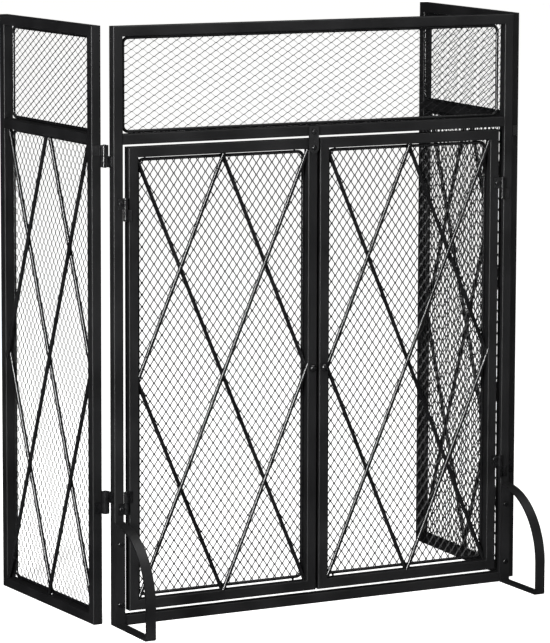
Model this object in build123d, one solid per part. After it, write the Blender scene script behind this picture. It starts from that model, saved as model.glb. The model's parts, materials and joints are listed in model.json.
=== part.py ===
from build123d import *
import math
import os

# Folding fireplace screen: a centre panel with two small doors, two folding wings and two front feet.
# Each piece is drawn with the centre panel's front face on Y = 0, standing on Z = 0, and export() moves
# it back so that the origin is the middle of the whole screen's footprint. All sizes are millimetres.

os.makedirs("parts", exist_ok=True)

# Overall
screen_height = 800.0
centre_width = 612.0
wing_length = 275.0
wing_flare = 2.6                # degrees that each wing stands open beyond square

# Square tube that every frame is welded from, mitred at the outer corners
tube = 14.0
tube_wall = 1.0
tube_corner = 1.5
middle_rail_low = 644.0         # underside of the middle rails

# Doors, flush in the lower part of the centre panel
door_side_gap = 8.0
door_top_gap = 3.5
door_bottom_gap = 5.0
door_meeting_gap = 4.0

# Decorative rods and the mesh panels behind them
rod_radius = 2.65
border_radius = 2.2
centre_border_gaps = (3.4, 3.4, 0.0, 0.0)       # left, right, bottom, top, from the tube to the border rod
door_border_gaps = (2.6, 0.0, 2.2, 1.8)
wing_border_gaps = (2.0, 2.0, 0.0, 0.0)
border_corner = 8.0
layer_gap = 0.05                # between the back rods and the border rod
mesh_thickness = 2.4
tab_length = 2.2                # welds that bridge an open gap
tab_depth = 2.0
tab_shares = (0.06, 0.94)       # of the opening's width

# Wing hinges: one pin behind each outer corner of the centre panel, at two heights
wing_pin_radius = 2.5
wing_barrel_radius = 5.2
wing_leaf = 1.6
wing_leaf_width = 12.0
pin_to_centre_side = 4.9        # from the pin to the planes of the centre panel's side and back
pin_to_centre_back = 3.9
pin_to_wing_end = 4.2
pin_to_wing_face = 2.7
upper_wing_hinge = (614.0, 643.0)
lower_wing_hinge = (151.0, 181.0)
wing_knuckle_split = (629.0, 166.0)

# Door hinges, on the front faces
door_pin_radius = 1.5
door_barrel_radius = 3.3
pin_to_stile = 2.5              # the pin stands nearer to the centre panel's stile than to the door
door_leaf = 1.5
door_hinge_half = 15.25
door_hinge_splits = (558.5, 166.0)
frame_leaf_reach = 11.0
plain_leaf_reach = 9.5
screwed_leaf_reach = 14.0
running_clearance = 0.05
knuckle_gap = 0.3
pin_overhang = 0.8

# Feet: a flat bar bent into a D, screwed to each stile
foot_bar = 3.0
foot_reach = 97.0
foot_leg = 44.0
foot_corner = 4.0
foot_screw_heights = (29.5, 111.5)

# Screws
screw_head_radius = 3.7
screw_head_height = 2.5
screw_head_crown = 1.5          # radius round the front of the head
screw_slot_width = 0.9
screw_slot_length = 4.0
screw_slot_depth = 1.2
screw_shank_radius = 1.9
screw_reach = 3.0               # shank beyond the piece that it holds
frame_leaf_screw = 7.1          # from the door pin to the screws in the frame's hinge leaves
door_leaf_screw = 8.7           # and to the screws in the door's hinge leaves
frame_screw_rise = 8.0          # above or below the split between the knuckles
door_screw_rises = (7.5, 10.5)

# Door knobs and the turning catch
knob_radius = 5.5
knob_height = 6.0
knob_base = 1.6
knob_z = 327.0
catch_width = 14.8
catch_thickness = 2.0
catch_standoff = 1.5
catch_x = -9.5
catch_low = 620.7
catch_high = 658.0
catch_pivot_z = 628.1
catch_grip_z = 650.0
catch_corner = 1.5
catch_play = 0.2                # on each side of the plate, under the rivet's head and spacer
catch_rivet_radius = 2.0
catch_rivet_head = 3.6
catch_rivet_crown = 2.4

# Worked out from the above
half_width = centre_width / 2
upper_opening = (middle_rail_low + tube, screen_height - tube)
lower_opening = (tube, middle_rail_low)
door_outer = half_width - tube - door_side_gap
door_inner = door_meeting_gap / 2
door_low = tube + door_bottom_gap
door_high = middle_rail_low - door_top_gap
wing_pin_x = half_width + pin_to_centre_side
wing_pin_y = tube + pin_to_centre_back
door_pin_x = half_width - tube - pin_to_stile
door_pin_y = -door_leaf
front_rod_depth = rod_radius
back_rod_depth = 3 * rod_radius
mesh_depth = back_rod_depth + rod_radius + layer_gap + border_radius
flare = math.radians(wing_flare)
screen_back = wing_pin_y + (wing_length + pin_to_wing_end) * math.cos(flare) - pin_to_wing_face * math.sin(flare)
front_y = (foot_reach - screen_back) / 2


def export(shape, node):
    export_step(Pos(0, front_y, 0) * shape, f"parts/{node}.step")


def block(x, y, z):
    """A box between two limits on each axis."""
    size = (x[1] - x[0], y[1] - y[0], z[1] - z[0])
    middle = ((x[0] + x[1]) / 2, (y[0] + y[1]) / 2, (z[0] + z[1]) / 2)
    return Pos(*middle) * Box(*size)


def upright_rod(x, y, z, radius):
    """A round bar standing on the point x, y between two heights."""
    return Pos(x, y, (z[0] + z[1]) / 2) * Cylinder(radius, z[1] - z[0])


def crosswise_rod(x, z, y, radius):
    """A round bar along Y, through the point x, z, between two depths."""
    return Pos(x, (y[0] + y[1]) / 2, z) * Rot(90, 0, 0) * Cylinder(radius, y[1] - y[0])


# Frames: hollow square tube

def tube_section():
    inner_corner = tube_corner - tube_wall
    bore = tube - 2 * tube_wall
    return RectangleRounded(tube, tube, tube_corner) - RectangleRounded(bore, bore, inner_corner)


def stile(x_low, z):
    """An upright tube with its outer side at x_low."""
    return Pos(x_low + tube / 2, tube / 2, z[0]) * extrude(tube_section(), z[1] - z[0])


def rail(x, z_low):
    """A level tube with its underside at z_low."""
    return Pos(x[0], tube / 2, z_low + tube / 2) * extrude(Plane.YZ * tube_section(), x[1] - x[0])


def mitre_prism(corners):
    """The outline of one mitred tube, seen from the front, as a solid thicker than the tube."""
    face = make_face(Polyline(*corners, close=True))
    return Pos(0, tube + 1, 0) * extrude(Plane.XZ * face, tube + 2)


def mitred_frame(x, z):
    """Four mitred tubes round a rectangle: left, right, bottom and top."""
    (x0, x1), (z0, z1) = x, z
    low_left, low_right = (x0, z0), (x1, z0)
    high_left, high_right = (x0, z1), (x1, z1)
    inner_low_left, inner_low_right = (x0 + tube, z0 + tube), (x1 - tube, z0 + tube)
    inner_high_left, inner_high_right = (x0 + tube, z1 - tube), (x1 - tube, z1 - tube)
    left = stile(x0, z) & mitre_prism([low_left, inner_low_left, inner_high_left, high_left])
    right = stile(x1 - tube, z) & mitre_prism([low_right, high_right, inner_high_right, inner_low_right])
    bottom = rail(x, z0) & mitre_prism([low_left, low_right, inner_low_right, inner_low_left])
    top = rail(x, z1 - tube) & mitre_prism([high_left, inner_high_left, inner_high_right, high_right])
    return left, right, bottom, top


# Infill: border rod, mesh and decorative rods

def inset_outline(x, z, gaps, rod, corner):
    """A rounded rectangle inside an opening: gaps from its sides, then a further distance rod all round."""
    left, right, bottom, top = gaps
    width = x[1] - x[0] - left - right - 2 * rod
    height = z[1] - z[0] - bottom - top - 2 * rod
    middle = ((x[0] + left + x[1] - right) / 2, (z[0] + bottom + z[1] - top) / 2)
    return middle, RectangleRounded(width, height, corner)


def mesh_border(x, z, gaps):
    """A rod bent round inside an opening, welded where it touches the tube or by small tabs across a gap."""
    middle, outline = inset_outline(x, z, gaps, border_radius, border_corner)
    path = (Plane.XZ * outline).wire()
    ring = sweep(Plane(path @ 0, z_dir=path % 0) * Circle(border_radius), path=path)
    ring = Pos(middle[0], mesh_depth, middle[1]) * ring
    depth = (mesh_depth - tab_depth / 2, mesh_depth + tab_depth / 2)
    bottom, top = gaps[2:]
    for share in tab_shares:
        along = x[0] + share * (x[1] - x[0])
        across = (along - tab_length / 2, along + tab_length / 2)
        if bottom > 0:
            ring += block(across, depth, (z[0], z[0] + bottom + border_radius))
        if top > 0:
            ring += block(across, depth, (z[1] - top - border_radius, z[1]))
    return ring


def mesh_panel(x, z, gaps):
    """Expanded metal mesh as a flat sheet that reaches the inside of its border rod."""
    middle, outline = inset_outline(x, z, gaps, 2 * border_radius, border_corner - border_radius)
    sheet = extrude(Plane.XZ * outline, mesh_thickness)
    return Pos(middle[0], mesh_depth + mesh_thickness / 2, middle[1]) * sheet


def slanted_rod(start, end, depth, opening):
    """A rod between two points of an opening, trimmed where it meets the tubes."""
    run = Vector(end[0] - start[0], 0, end[1] - start[1])
    spare = 3 * rod_radius
    origin = Vector(start[0], depth, start[1]) - run.normalized() * spare
    rod = Plane(origin, z_dir=run) * Cylinder(
        rod_radius, run.length + 2 * spare, align=(Align.CENTER, Align.CENTER, Align.MIN)
    )
    return rod & opening


def lattice_rods(x, z):
    """Two diagonals and a rhombus between the middles of the sides: rising rods in front, falling behind."""
    (x0, x1), (z0, z1) = x, z
    xm, zm = (x0 + x1) / 2, (z0 + z1) / 2
    opening = block(x, (0, tube), z)
    rising = [((x0, z0), (x1, z1)), ((x0, zm), (xm, z1)), ((xm, z0), (x1, zm))]
    falling = [((x0, z1), (x1, z0)), ((xm, z1), (x1, zm)), ((x0, zm), (xm, z0))]
    rods = [slanted_rod(start, end, front_rod_depth, opening) for start, end in rising]
    rods += [slanted_rod(start, end, back_rod_depth, opening) for start, end in falling]
    return Compound(children=rods)


# Fasteners

def pan_screw(x, y, z, held):
    """A cross-head screw with its head in front of Y = y, through a piece of thickness held."""
    head = crosswise_rod(x, z, (y - screw_head_height, y), screw_head_radius)
    head = fillet(head.edges().filter_by(GeomType.CIRCLE).group_by(Axis.Y)[0], screw_head_crown)
    slot_depth = (y - screw_head_height, y - screw_head_height + screw_slot_depth)
    slot_side = (-screw_slot_width / 2, screw_slot_width / 2)
    slot_span = (-screw_slot_length / 2, screw_slot_length / 2)
    cross = block(slot_side, slot_depth, slot_span) + block(slot_span, slot_depth, slot_side)
    shank = crosswise_rod(x, z, (y, y + held + tube_wall + screw_reach), screw_shank_radius)
    return head - Pos(x, 0, z) * cross + shank


def screw_hole(x, y, z, depth):
    """What a screw's shank takes out of a piece from Y = y inwards."""
    return crosswise_rod(x, z, (y, y + depth), screw_shank_radius)


# Centre panel

def mirrored(shape):
    return mirror(shape, about=Plane.YZ)


foot_x = half_width - tube / 2
frame_leaf_screw_x = -(door_pin_x + frame_leaf_screw)
door_leaf_screw_x = door_pin_x - door_leaf_screw
door_upper_split, door_lower_split = door_hinge_splits
frame_leaf_screws = [
    (frame_leaf_screw_x, door_upper_split + frame_screw_rise),
    (frame_leaf_screw_x, door_lower_split - frame_screw_rise),
]
door_leaf_screws = [
    (door_leaf_screw_x, split + rise) for split, rise in zip(door_hinge_splits, door_screw_rises)
]

left_stile, right_stile, bottom_rail, top_rail = mitred_frame((-half_width, half_width), (0, screen_height))
wall_cut = tube_wall + 1.0
for height in foot_screw_heights:
    left_stile -= screw_hole(-foot_x, -0.5, height, wall_cut)
    right_stile -= screw_hole(foot_x, -0.5, height, wall_cut)
for x, z in frame_leaf_screws:
    left_stile -= screw_hole(x, -0.5, z, wall_cut)

export(left_stile, "centre_left_stile")
export(right_stile, "centre_right_stile")
export(bottom_rail, "centre_bottom_rail")
export(top_rail, "centre_top_rail")
between_stiles = (-half_width + tube, half_width - tube)
export(rail(between_stiles, middle_rail_low), "centre_middle_rail")
export(mesh_border(between_stiles, upper_opening, centre_border_gaps), "centre_mesh_border")
export(mesh_panel(between_stiles, upper_opening, centre_border_gaps), "centre_mesh")


# Feet

def d_outline(reach, leg_low, leg_high, heel, corner):
    """A quarter disc over a rectangle, in the YZ plane, from the heel out to the reach."""
    radius = reach
    disc = Pos(0, leg_high) * Circle(radius)
    over = Pos(-reach, leg_high) * Rectangle(reach - heel, radius, align=(Align.MIN, Align.MIN))
    leg = Pos(-reach, leg_low) * Rectangle(reach - heel, leg_high - leg_low, align=(Align.MIN, Align.MIN))
    outline = (disc & over) + leg
    toe = outline.vertices().group_by(Axis.Y)[0].sort_by(Axis.X)[0]
    return fillet(toe, corner)


def foot(x):
    outer = d_outline(foot_reach, 0, foot_leg, 0, foot_corner)
    inner = d_outline(foot_reach - foot_bar, foot_bar, foot_leg, foot_bar, foot_corner - foot_bar)
    bar = Pos(x - tube / 2, 0, 0) * extrude(Plane.YZ * (outer - inner), tube)
    for height in foot_screw_heights:
        bar -= screw_hole(x, -foot_bar - 0.5, height, foot_bar + 1.0)
    return bar


export(foot(-foot_x), "left_foot")
export(foot(foot_x), "right_foot")
foot_screws = [pan_screw(x, -foot_bar, z, foot_bar) for x in (-foot_x, foot_x) for z in foot_screw_heights]
export(Compound(children=foot_screws), "foot_screws")


# Hinges

def knuckle(x, y, z, radius, bore, plate):
    """One hinge leaf: a plate with a barrel round the pin."""
    return plate + upright_rod(x, y, z, radius) - upright_rod(x, y, (z[0] - 1, z[1] + 1), bore)


def knuckle_spans(low, split, high):
    """Heights of the lower and upper knuckle, with a gap between them."""
    return (low, split - knuckle_gap / 2), (split + knuckle_gap / 2, high)


def wing_frame_leaf(z):
    """The leaf on the centre panel's left side."""
    side = (-half_width - wing_leaf, -half_width)
    plate = block(side, (tube - wing_leaf_width, wing_pin_y), z)
    return knuckle(-wing_pin_x, wing_pin_y, z, wing_barrel_radius, wing_pin_radius, plate)


def wing_leaf_on_end(z):
    """The leaf on a wing's near end, in the left wing's flat layout about its pin."""
    side = (-pin_to_wing_end, -pin_to_wing_end + wing_leaf)
    plate = block(side, (-pin_to_wing_face - wing_leaf_width, 0), z)
    bore = wing_pin_radius + running_clearance
    return knuckle(0, 0, z, wing_barrel_radius, bore, plate)


upper_low, upper_high = upper_wing_hinge
lower_low, lower_high = lower_wing_hinge
upper_knuckles = knuckle_spans(upper_low, wing_knuckle_split[0], upper_high)
lower_knuckles = knuckle_spans(lower_low, wing_knuckle_split[1], lower_high)
wing_hinge_heights = (upper_wing_hinge, lower_wing_hinge)
centre_spans = (upper_knuckles[0], lower_knuckles[1])
wing_spans = (upper_knuckles[1], lower_knuckles[0])

left_leaves = [wing_frame_leaf(span) for span in centre_spans]
right_leaves = [mirrored(leaf) for leaf in left_leaves]
export(Compound(children=left_leaves + right_leaves), "wing_hinge_frame_leaves")


def hinge_pin(x, y, z, radius):
    pin = upright_rod(x, y, (z[0] - pin_overhang, z[1] + pin_overhang), radius)
    return chamfer(pin.edges().filter_by(GeomType.CIRCLE), 0.4)


wing_pins = [
    hinge_pin(x, wing_pin_y, z, wing_pin_radius) for x in (-wing_pin_x, wing_pin_x) for z in wing_hinge_heights
]
export(Compound(children=wing_pins), "wing_hinge_pins")


def door_hinge_leaf(side, z, reach, bore):
    """A leaf on a front face: side is -1 for a plate that runs left from the left door's pin, 1 for right."""
    ends = sorted((-door_pin_x, -door_pin_x + side * reach))
    plate = block(ends, (-door_leaf, 0), z)
    return knuckle(-door_pin_x, door_pin_y, z, door_barrel_radius, bore, plate)


loose_bore = door_pin_radius + running_clearance
door_spans = [
    knuckle_spans(split - door_hinge_half, split, split + door_hinge_half) for split in door_hinge_splits
]
(upper_door_low, upper_door_high), (lower_door_low, lower_door_high) = door_spans

# Left hinges: frame leaf above at the top and below at the bottom. Right hinges: door leaf above in both.
left_frame_leaves = [
    door_hinge_leaf(-1, span, frame_leaf_reach, door_pin_radius) for span in (upper_door_high, lower_door_low)
]
left_frame_leaves = [
    leaf - screw_hole(x, -door_leaf - 0.5, z, door_leaf + 1.0)
    for leaf, (x, z) in zip(left_frame_leaves, frame_leaf_screws)
]
right_frame_leaves = [
    mirrored(door_hinge_leaf(-1, span, frame_leaf_reach, door_pin_radius))
    for span in (upper_door_low, lower_door_low)
]
export(Compound(children=left_frame_leaves + right_frame_leaves), "door_hinge_frame_leaves")

door_pins = [
    hinge_pin(x, door_pin_y, (split - door_hinge_half, split + door_hinge_half), door_pin_radius)
    for x in (-door_pin_x, door_pin_x)
    for split in door_hinge_splits
]
export(Compound(children=door_pins), "door_hinge_pins")
frame_screws = [pan_screw(x, -door_leaf, z, door_leaf) for x, z in frame_leaf_screws]
export(Compound(children=frame_screws), "door_hinge_frame_screws")

left_door_leaves = [
    door_hinge_leaf(1, span, plain_leaf_reach, loose_bore) for span in (upper_door_low, lower_door_high)
]
export(Compound(children=left_door_leaves), "left_door_hinge_leaves")
right_door_leaves = [
    mirrored(door_hinge_leaf(1, span, screwed_leaf_reach, loose_bore))
    for span in (upper_door_high, lower_door_high)
]
right_door_leaves = [
    leaf - screw_hole(x, -door_leaf - 0.5, z, door_leaf + 1.0)
    for leaf, (x, z) in zip(right_door_leaves, door_leaf_screws)
]
export(Compound(children=right_door_leaves), "right_door_hinge_leaves")
right_door_screws = [pan_screw(x, -door_leaf, z, door_leaf) for x, z in door_leaf_screws]
export(Compound(children=right_door_screws), "right_door_hinge_screws")


# Doors

def domed_knob(x, z, radius, height, base, y):
    """A low round knob on a short foot, with a stud through the tube wall."""
    foot_part = crosswise_rod(x, z, (y - base, y), radius * 0.6)
    dome_height = height - base
    sphere_radius = (radius**2 + dome_height**2) / (2 * dome_height)
    ball = Pos(x, y - height + sphere_radius, z) * Sphere(sphere_radius)
    dome = ball & crosswise_rod(x, z, (y - height - 1, y - base), radius)
    stud = crosswise_rod(x, z, (y, y + tube_wall + screw_reach), screw_shank_radius)
    return dome + foot_part + stud


def door(side, knob_x):
    """Tubes of one door: outer stile, meeting stile, bottom and top, with the knob's hole."""
    ends = sorted((side * door_outer, side * door_inner))
    low_x, high_x, bottom, top = mitred_frame(ends, (door_low, door_high))
    outer, meeting = (low_x, high_x) if side < 0 else (high_x, low_x)
    meeting -= screw_hole(knob_x, -0.5, knob_z, wall_cut)
    return outer, meeting, bottom, top


for side, name in ((-1, "left"), (1, "right")):
    knob_x = side * (door_inner + tube / 2)
    outer, meeting, bottom, top = door(side, knob_x)
    if side > 0:
        for x, z in door_leaf_screws:
            outer -= screw_hole(x, -0.5, z, wall_cut)
    else:
        meeting -= crosswise_rod(catch_x, catch_pivot_z, (-0.5, wall_cut), catch_rivet_radius)
    opening_x = sorted((side * (door_outer - tube), side * (door_inner + tube)))
    opening_z = (door_low + tube, door_high - tube)
    export(outer, f"{name}_door_hinge_stile")
    export(meeting, f"{name}_door_meeting_stile")
    export(bottom, f"{name}_door_bottom_rail")
    export(top, f"{name}_door_top_rail")
    export(mesh_border(opening_x, opening_z, door_border_gaps), f"{name}_door_mesh_border")
    export(mesh_panel(opening_x, opening_z, door_border_gaps), f"{name}_door_mesh")
    export(lattice_rods(opening_x, opening_z), f"{name}_door_rods")
    export(domed_knob(knob_x, knob_z, knob_radius, knob_height, knob_base, 0), f"{name}_door_knob")


# Turning catch on the left door

catch_back = -catch_standoff
catch_front = catch_back - catch_thickness


def catch_plate():
    """A plate with a round lower end about its rivet, standing off the faces behind it."""
    half = catch_width / 2
    depth = (catch_front, catch_back)
    plate = block((catch_x - half, catch_x + half), depth, (catch_pivot_z, catch_high))
    plate = fillet(plate.edges().filter_by(Axis.Y).group_by(Axis.Z)[-1], catch_corner)
    plate += crosswise_rod(catch_x, catch_pivot_z, depth, half)
    plate -= crosswise_rod(
        catch_x, catch_pivot_z, (catch_front - 1, catch_back + 1), catch_rivet_radius + running_clearance
    )
    return plate - crosswise_rod(catch_x, catch_grip_z, (catch_front - 1, catch_back + 1), screw_shank_radius)


def catch_rivet():
    """A shouldered rivet: spacer behind the plate, domed head in front of it."""
    head_back = catch_front - catch_play
    spacer = crosswise_rod(catch_x, catch_pivot_z, (catch_back + catch_play, 0), catch_rivet_head)
    shank = crosswise_rod(catch_x, catch_pivot_z, (head_back, tube_wall + 1.5), catch_rivet_radius)
    sphere_radius = (catch_rivet_head**2 + catch_rivet_crown**2) / (2 * catch_rivet_crown)
    ball = Pos(catch_x, head_back - catch_rivet_crown + sphere_radius, catch_pivot_z) * Sphere(sphere_radius)
    reach = (head_back - catch_rivet_crown - 1, head_back)
    head = ball & crosswise_rod(catch_x, catch_pivot_z, reach, catch_rivet_head)
    return spacer + shank + head


def catch_grip():
    """The cross-head screw that serves as the catch's finger grip, riveted over inside the plate."""
    screw = pan_screw(catch_x, catch_front, catch_grip_z, 0)
    return screw & block((-half_width, 0), (-tube, catch_back), (catch_low, catch_high))


export(catch_plate(), "catch_plate")
export(catch_rivet(), "catch_rivet")
export(catch_grip(), "catch_grip")


# Wings

def stand_wing(side, shape):
    """Turns a wing from its flat layout, with the pin at the origin, to where it stands."""
    return Pos(side * wing_pin_x, wing_pin_y, 0) * Rot(0, 0, side * (90 - wing_flare)) * shape


for side, name in ((-1, "left"), (1, "right")):
    near = side * pin_to_wing_end
    far = side * (pin_to_wing_end + wing_length)
    ends = sorted((near, far))
    # Seen from its outer side, each wing has its face at this depth in front of the pin.
    face = Pos(0, -pin_to_wing_face - tube, 0)
    low_x, high_x, bottom, top = mitred_frame(ends, (0, screen_height))
    near_stile, far_stile = (high_x, low_x) if side < 0 else (low_x, high_x)
    between = (ends[0] + tube, ends[1] - tube)
    leaves = Compound(children=[wing_leaf_on_end(span) for span in wing_spans])
    if side > 0:
        leaves = mirrored(leaves)
    pieces = {
        "near_stile": near_stile,
        "far_stile": far_stile,
        "bottom_rail": bottom,
        "top_rail": top,
        "middle_rail": rail(between, middle_rail_low),
        "upper_mesh_border": mesh_border(between, upper_opening, wing_border_gaps),
        "upper_mesh": mesh_panel(between, upper_opening, wing_border_gaps),
        "lower_mesh_border": mesh_border(between, lower_opening, wing_border_gaps),
        "lower_mesh": mesh_panel(between, lower_opening, wing_border_gaps),
        "rods": lattice_rods(between, lower_opening),
    }
    for piece_name, piece in pieces.items():
        export(stand_wing(side, face * piece), f"{name}_wing_{piece_name}")
    export(stand_wing(side, leaves), f"{name}_wing_hinge_leaves")
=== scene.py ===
import bpy
import json
import math
from mathutils import Matrix, Vector


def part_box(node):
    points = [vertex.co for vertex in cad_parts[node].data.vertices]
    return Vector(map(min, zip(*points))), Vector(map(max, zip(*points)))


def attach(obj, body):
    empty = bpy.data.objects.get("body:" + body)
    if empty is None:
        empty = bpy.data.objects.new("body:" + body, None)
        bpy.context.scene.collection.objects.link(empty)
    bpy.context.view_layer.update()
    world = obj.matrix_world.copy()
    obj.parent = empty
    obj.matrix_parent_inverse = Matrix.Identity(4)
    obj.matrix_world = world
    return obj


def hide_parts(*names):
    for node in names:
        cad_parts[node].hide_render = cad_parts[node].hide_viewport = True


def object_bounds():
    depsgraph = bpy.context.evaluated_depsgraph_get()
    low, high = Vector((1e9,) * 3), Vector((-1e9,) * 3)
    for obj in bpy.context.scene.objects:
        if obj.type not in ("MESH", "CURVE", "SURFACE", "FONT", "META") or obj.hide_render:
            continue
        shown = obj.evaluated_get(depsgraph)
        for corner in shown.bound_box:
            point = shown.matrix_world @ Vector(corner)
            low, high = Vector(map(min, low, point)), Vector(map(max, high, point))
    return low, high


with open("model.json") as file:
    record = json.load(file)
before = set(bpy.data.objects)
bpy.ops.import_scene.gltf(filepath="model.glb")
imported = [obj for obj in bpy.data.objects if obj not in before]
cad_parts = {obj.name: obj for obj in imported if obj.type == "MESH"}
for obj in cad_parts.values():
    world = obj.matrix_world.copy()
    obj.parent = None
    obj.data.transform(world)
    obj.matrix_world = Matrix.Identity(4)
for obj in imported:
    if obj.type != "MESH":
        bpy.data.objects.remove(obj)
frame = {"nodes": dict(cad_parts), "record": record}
nodes = frame["nodes"]
cadLow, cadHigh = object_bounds()
mm = 0.001

# Which CAD body each node rides on
bodyOf = {
    node: body
    for body, members in frame["record"]["behaviour"]["bodies"].items()
    for node in members
}


def toLinear(hexColour):
    # sRGB hex, such as "2a2a2b", to the linear values that shaders take
    channels = [int(hexColour[i:i + 2], 16) / 255 for i in (0, 2, 4)]
    linear = [c / 12.92 if c <= 0.04045 else ((c + 0.055) / 1.055) ** 2.4 for c in channels]
    return (*linear, 1.0)


def addNode(tree, kind, settings=None, links=None):
    # settings: socket or property name to value; links: socket name to an output socket
    node = tree.nodes.new(kind)
    for name, value in (settings or {}).items():
        if name in node.inputs:
            node.inputs[name].default_value = value
        else:
            setattr(node, name, value)
    for name, output in (links or {}).items():
        tree.links.new(output, node.inputs[name])
    return node


def newPiece(name, verts, faces, material, body):
    mesh = bpy.data.meshes.new(name)
    mesh.from_pydata(verts, [], faces)
    mesh.update()
    mesh.shade_flat()
    mesh.materials.append(material)
    piece = bpy.data.objects.new(name, mesh)
    bpy.context.scene.collection.objects.link(piece)
    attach(piece, body)
    return piece


powderCoat = {
    "deep": "0c0c0d",        # in the hollows of the film
    "worn": "171718",        # where the film is thin or handled
    "roughness": (0.38, 0.50),
    "peelSize": 1.6,         # mm, orange-peel waves of a baked film
    "peelHeight": 0.02,      # mm
    "grainSize": 0.35,       # mm, drawn about twice as coarse as the real powder grain so that it shows
    "grainHeight": 0.006,    # mm
    "cloudSize": 60.0,       # mm, slow drift in the colour along a tube
    "cloudRange": (0.35, 0.70),    # noise values that count as hollow and as worn
    "grainRange": (0.3, 0.7),
    "gloss": 1.5,            # refractive index of the film
}


def satinPowderCoat(name, look):
    # Baked polyester powder on mild steel: near black, satin, with a fine orange peel that softens highlights
    material = bpy.data.materials.new(name)
    material.use_nodes = True
    tree = material.node_tree
    shader = tree.nodes["Principled BSDF"]
    place = addNode(tree, "ShaderNodeTexCoord").outputs["Object"]
    clouds = addNode(tree, "ShaderNodeTexNoise", {"Scale": 1 / (look["cloudSize"] * mm), "Detail": 3.0},
                     {"Vector": place})
    peel = addNode(tree, "ShaderNodeTexNoise", {"Scale": 1 / (look["peelSize"] * mm), "Detail": 1.0},
                   {"Vector": place})
    grain = addNode(tree, "ShaderNodeTexNoise", {"Scale": 1 / (look["grainSize"] * mm), "Detail": 2.0},
                    {"Vector": place})
    tint = addNode(tree, "ShaderNodeValToRGB", links={"Fac": clouds.outputs["Fac"]})
    tint.color_ramp.elements[0].position = look["cloudRange"][0]
    tint.color_ramp.elements[0].color = toLinear(look["deep"])
    tint.color_ramp.elements[1].position = look["cloudRange"][1]
    tint.color_ramp.elements[1].color = toLinear(look["worn"])
    sheen = addNode(tree, "ShaderNodeMapRange",
                    {"From Min": look["grainRange"][0], "From Max": look["grainRange"][1],
                     "To Min": look["roughness"][0], "To Max": look["roughness"][1]},
                    {"Value": grain.outputs["Fac"]})
    waves = addNode(tree, "ShaderNodeBump", {"Strength": 1.0, "Distance": look["peelHeight"] * mm},
                    {"Height": peel.outputs["Fac"]})
    surface = addNode(tree, "ShaderNodeBump", {"Strength": 1.0, "Distance": look["grainHeight"] * mm},
                      {"Height": grain.outputs["Fac"], "Normal": waves.outputs["Normal"]})
    tree.links.new(tint.outputs["Color"], shader.inputs["Base Color"])
    tree.links.new(sheen.outputs["Result"], shader.inputs["Roughness"])
    tree.links.new(surface.outputs["Normal"], shader.inputs["Normal"])
    shader.inputs["IOR"].default_value = look["gloss"]
    return material


# The same film looks glossier on smooth drawn rod and on small turned and pressed parts
rodCoat = dict(powderCoat, roughness=(0.15, 0.20), peelHeight=0.006, grainHeight=0.003, gloss=1.6)
hardwareCoat = dict(powderCoat, roughness=(0.15, 0.23), peelHeight=0.006, grainHeight=0.003,
                    cloudSize=12.0, gloss=1.6)
meshCoat = dict(powderCoat, deep="0b0b0c", worn="18181a", roughness=(0.40, 0.55), cloudSize=25.0)

frameMaterial = satinPowderCoat("satin_powder_coated_steel_tube", powderCoat)
rodMaterial = satinPowderCoat("satin_powder_coated_bright_drawn_rod", rodCoat)
hardwareMaterial = satinPowderCoat("semi_gloss_stove_enamelled_steel", hardwareCoat)
meshMaterial = satinPowderCoat("powder_coated_expanded_steel", meshCoat)
finishOf = {"frame_black": frameMaterial, "hardware_black": hardwareMaterial, "mesh_black": meshMaterial}
slotOf = {entry["node"]: entry["material_slot"] for entry in frame["record"]["subparts"]}

for nodeName, nodeObject in nodes.items():
    isRod = nodeName.endswith(("rods", "mesh_border"))
    for materialSlot in nodeObject.material_slots:
        materialSlot.material = rodMaterial if isRod else finishOf[slotOf[nodeName]]
print("materials on", len(nodes), "nodes")


# One sheet of slit and stretched steel: flat strands, turned on edge by the stretching, that meet
# in pairs at short bonds. The long way of the diamonds runs level in the upper panels and upright
# in the doors and lower wings.
expandedSteel = {
    "strandWidth": 1.55,      # mm, across one strand
    "strandThickness": 0.40,  # mm, of the sheet it was cut from
    "doorTurn": -38.0,        # degrees that the strands are turned out of the sheet's plane
    "leftWingTurn": -45.0,    # each sheet is set in its own way round
    "rightWingTurn": 45.0,
    "centreTopTurn": -77.0,
    "leftTopTurn": 34.0,
    "rightTopTurn": -45.0,
    "topWidth": 1.2,          # mm, a finer sheet along the top
    "bondLength": 1.9,        # mm, where two strands stay joined
    "levelCell": (16.6, 10.25),    # mm, long way and short way
    "uprightCell": (16.0, 11.75),
    "tuckIn": 2.2,            # mm that the strands run on, to the middle of the border rod
}


hearthMiddle = 0.10           # m behind the origin, between the two wings


def panelAxes(node):
    # middle, right, up and outward directions and the size of a flat upright panel, from its CAD mesh
    mesh = nodes[node].data
    broad = max(mesh.polygons, key=lambda polygon: polygon.area)
    outward = Vector((broad.normal.x, broad.normal.y, 0)).normalized()
    low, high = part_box(node)
    middle = (low + high) / 2
    hearth = Vector((0, hearthMiddle, middle.z))
    if outward.dot(middle - hearth) < 0:
        outward = -outward
    up = Vector((0, 0, 1))
    right = up.cross(outward)
    spans = []
    for axis in (right, up, outward):
        along = [axis.dot(vertex.co - middle) for vertex in mesh.vertices]
        spans.append(max(along) - min(along))
    return middle, right, up, outward, spans


def strandStations(halfCell, bond, reach):
    # distances along the long way where a strand turns, each with the number of its bond
    count = int(reach / halfCell) + 2
    for index in range(-count, count + 1):
        yield index, index * halfCell - bond / 2
        yield index, index * halfCell + bond / 2


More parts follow.
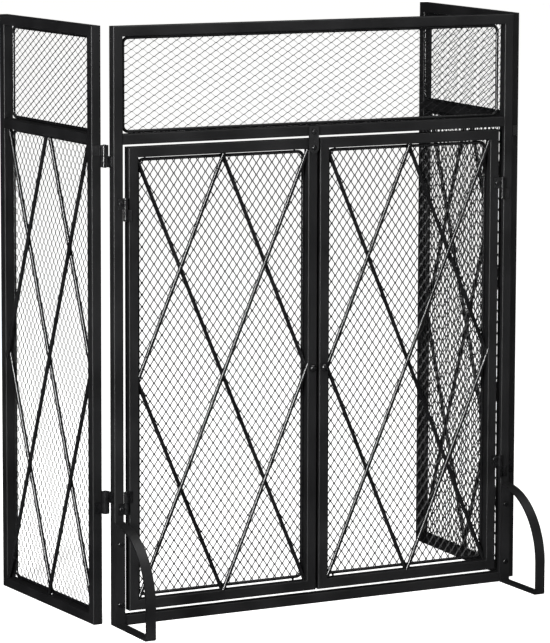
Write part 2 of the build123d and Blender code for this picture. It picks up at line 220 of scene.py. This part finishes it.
def clipToSpan(path, reach):
    # keeps the part of a strand's path within the reach, cutting the runs that cross its ends
    kept = []
    for (start, end) in zip(path, path[1:]):
        if end.x <= -reach or start.x >= reach:
            continue
        first = start.lerp(end, max(0.0, (-reach - start.x) / (end.x - start.x)))
        last = start.lerp(end, min(1.0, (reach - start.x) / (end.x - start.x)))
        if not kept:
            kept.append(first)
        kept.append(last)
    return kept


def sheetShape(node):
    # strand width in mm and turn in degrees
    look = expandedSteel
    if "door" in node:
        return look["strandWidth"], look["doorTurn"]
    if "lower" in node:
        return look["strandWidth"], look["leftWingTurn" if "left" in node else "rightWingTurn"]
    if "wing" in node:
        return look["topWidth"], look["leftTopTurn" if "left" in node else "rightTopTurn"]
    return look["topWidth"], look["centreTopTurn"]


def expandedSheet(node, upright):
    look = expandedSteel
    strandWidth, strandTurn = sheetShape(node)
    middle, right, up, outward, (width, height, depth) = panelAxes(node)
    longWay, shortWay = (side * mm for side in look["uprightCell" if upright else "levelCell"])
    longAxis, shortAxis = (up, -right) if upright else (right, up)
    longReach = (height if upright else width) / 2 + look["tuckIn"] * mm
    shortReach = (width if upright else height) / 2 + look["tuckIn"] * mm
    turn = math.radians(strandTurn)
    across = Vector((0, math.cos(turn), math.sin(turn))) * strandWidth * mm / 2
    through = Vector((0, -math.sin(turn), math.cos(turn))) * look["strandThickness"] * mm / 2
    corners = (-across - through, across - through, across + through, -across + through)
    verts, faces = [], []
    toWorld = Matrix((longAxis, shortAxis, outward)).transposed()
    rows = int(shortReach / (shortWay / 2)) + 1
    for row in range(-rows, rows):
        lowRow, highRow = row * shortWay / 2, (row + 1) * shortWay / 2
        if lowRow < -shortReach or highRow > shortReach:
            continue
        path = []
        for index, distance in strandStations(longWay / 2, look["bondLength"] * mm, longReach):
            if (index + row) % 2 == 0:
                path.append(Vector((distance, lowRow, 0)) + across)
            else:
                path.append(Vector((distance, highRow, 0)) - across)
        path = clipToSpan(path, longReach)
        for station, point in enumerate(path):
            base = len(verts)
            verts += [middle + toWorld @ (point + corner) for corner in corners]
            if station:
                faces += [(base - 4 + k, base - 4 + (k + 1) % 4, base + (k + 1) % 4, base + k)
                          for k in range(4)]
    sheet = newPiece(f"{node}_strands", verts, faces, meshMaterial, bodyOf[node])
    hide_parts(node)
    return len(faces)


strandFaces = 0
for node in sorted(nodes):
    if node.endswith("mesh"):
        strandFaces += expandedSheet(node, upright=("door" in node or "lower" in node))
print("expanded metal:", strandFaces, "faces")


studio = {
    "stageReach": 14.0,       # m from the middle to the backdrop
    "stageHeight": 9.0,
    "stageSides": 48,
    "stageRoughness": 0.9,
    "floorColour": "f4f4f3",
    "floorGlow": 1.1,
    "backdropColour": "ffffff",
    "worldFront": 0.16,       # brightness of the room towards the viewer
    "worldBack": 0.06,        # and behind the screen
    "worldFade": (-0.4, 0.6),    # how far round it fades, as the sine of the bearing
    "keyPower": 195.0,        # W, a tall strip that lights the length of the rising rods
    "keySize": (0.4, 2.2),
    "keyPlace": (-2.75, -2.2, 1.3),
    "cardPower": 6.0,
    "cardSize": (2.4, 2.4),
    "cardPlace": (1.5, -3.2, 1.25),
    "topPower": 45.0,
    "topSize": (2.6, 2.6),
    "topPlace": (0.3, -0.4, 3.2),
}


def plainStage(name, verts, faces, colour, glow):
    mesh = bpy.data.meshes.new(name)
    mesh.from_pydata(verts, [], faces)
    material = bpy.data.materials.new(name + "_paint")
    material.use_nodes = True
    shader = material.node_tree.nodes["Principled BSDF"]
    shader.inputs["Base Color"].default_value = toLinear(colour)
    shader.inputs["Roughness"].default_value = studio["stageRoughness"]
    shader.inputs["Emission Color"].default_value = toLinear(colour)
    shader.inputs["Emission Strength"].default_value = glow
    mesh.materials.append(material)
    stage = bpy.data.objects.new(name, mesh)
    bpy.context.scene.collection.objects.link(stage)
    stage.visible_glossy = False
    return stage


stageReach = studio["stageReach"]
floorCorners = [(x * stageReach, y * stageReach, 0) for x, y in ((-1, -1), (1, -1), (1, 1), (-1, 1))]
plainStage("floor", floorCorners, [(0, 1, 2, 3)], studio["floorColour"], studio["floorGlow"])

sides = studio["stageSides"]
angles = [2 * math.pi * k / sides for k in range(sides)]
rim = [(stageReach * math.cos(angle), stageReach * math.sin(angle)) for angle in angles]
wallVerts = [(x, y, z) for z in (-0.5, studio["stageHeight"]) for x, y in rim]
wallFaces = [(k, (k + 1) % sides, sides + (k + 1) % sides, sides + k) for k in range(sides)]
backdrop = plainStage("backdrop", wallVerts, wallFaces, studio["backdropColour"], 1.0)
backdrop.visible_shadow = False
backdrop.visible_diffuse = False

# A studio that is pale in front of the screen and dim behind it
world = bpy.data.worlds.new("studio")
bpy.context.scene.world = world
world.use_nodes = True
worldTree = world.node_tree
facing = addNode(worldTree, "ShaderNodeSeparateXYZ",
                 links={"Vector": addNode(worldTree, "ShaderNodeTexCoord").outputs["Generated"]})
falloff = addNode(worldTree, "ShaderNodeMapRange",
                  {"From Min": studio["worldFade"][0], "From Max": studio["worldFade"][1],
                   "To Min": studio["worldFront"], "To Max": studio["worldBack"]},
                  {"Value": facing.outputs["Y"]})
worldTree.links.new(falloff.outputs["Result"], worldTree.nodes["Background"].inputs["Strength"])


def softbox(name, place, size, power, target):
    light = bpy.data.lights.new(name, "AREA")
    light.shape = "RECTANGLE"
    light.size, light.size_y = size
    light.energy = power
    lamp = bpy.data.objects.new(name, light)
    bpy.context.scene.collection.objects.link(lamp)
    lamp.location = place
    lamp.rotation_euler = (Vector(target) - Vector(place)).to_track_quat("-Z", "Y").to_euler()
    lamp.visible_camera = False
    return lamp


middle = (cadLow + cadHigh) / 2
softbox("key_light", studio["keyPlace"], studio["keySize"], studio["keyPower"], middle)
softbox("top_light", studio["topPlace"], studio["topSize"], studio["topPower"], middle)
softbox("reflector_card", studio["cardPlace"], studio["cardSize"], studio["cardPower"], middle)

cameraSet = {
    "place": (-2.2584, -4.2699, 1.1040),
    "turn": 27.723,           # degrees to the right of straight on
    "dip": 7.204,             # degrees below level
    "roll": 0.163,
    "lens": 197.67,           # mm on a 36 mm sensor
    "shift": -0.1299,
}

cameraData = bpy.data.cameras.new("camera")
cameraData.lens = cameraSet["lens"]
cameraData.sensor_width = 36.0
cameraData.shift_y = cameraSet["shift"]
cameraData.clip_end = 100
camera = bpy.data.objects.new("camera", cameraData)
bpy.context.scene.collection.objects.link(camera)
camera.location = cameraSet["place"]
aim = Matrix.Rotation(math.radians(-cameraSet["turn"]), 4, "Z") @ Matrix.Rotation(
    math.radians(90 - cameraSet["dip"]), 4, "X") @ Matrix.Rotation(math.radians(cameraSet["roll"]), 4, "Z")
camera.rotation_euler = aim.to_euler()
bpy.context.scene.camera = camera
bpy.context.scene.view_settings.view_transform = "Standard"    # shows the paper-white stage as white
print("stage, lights and camera ready")
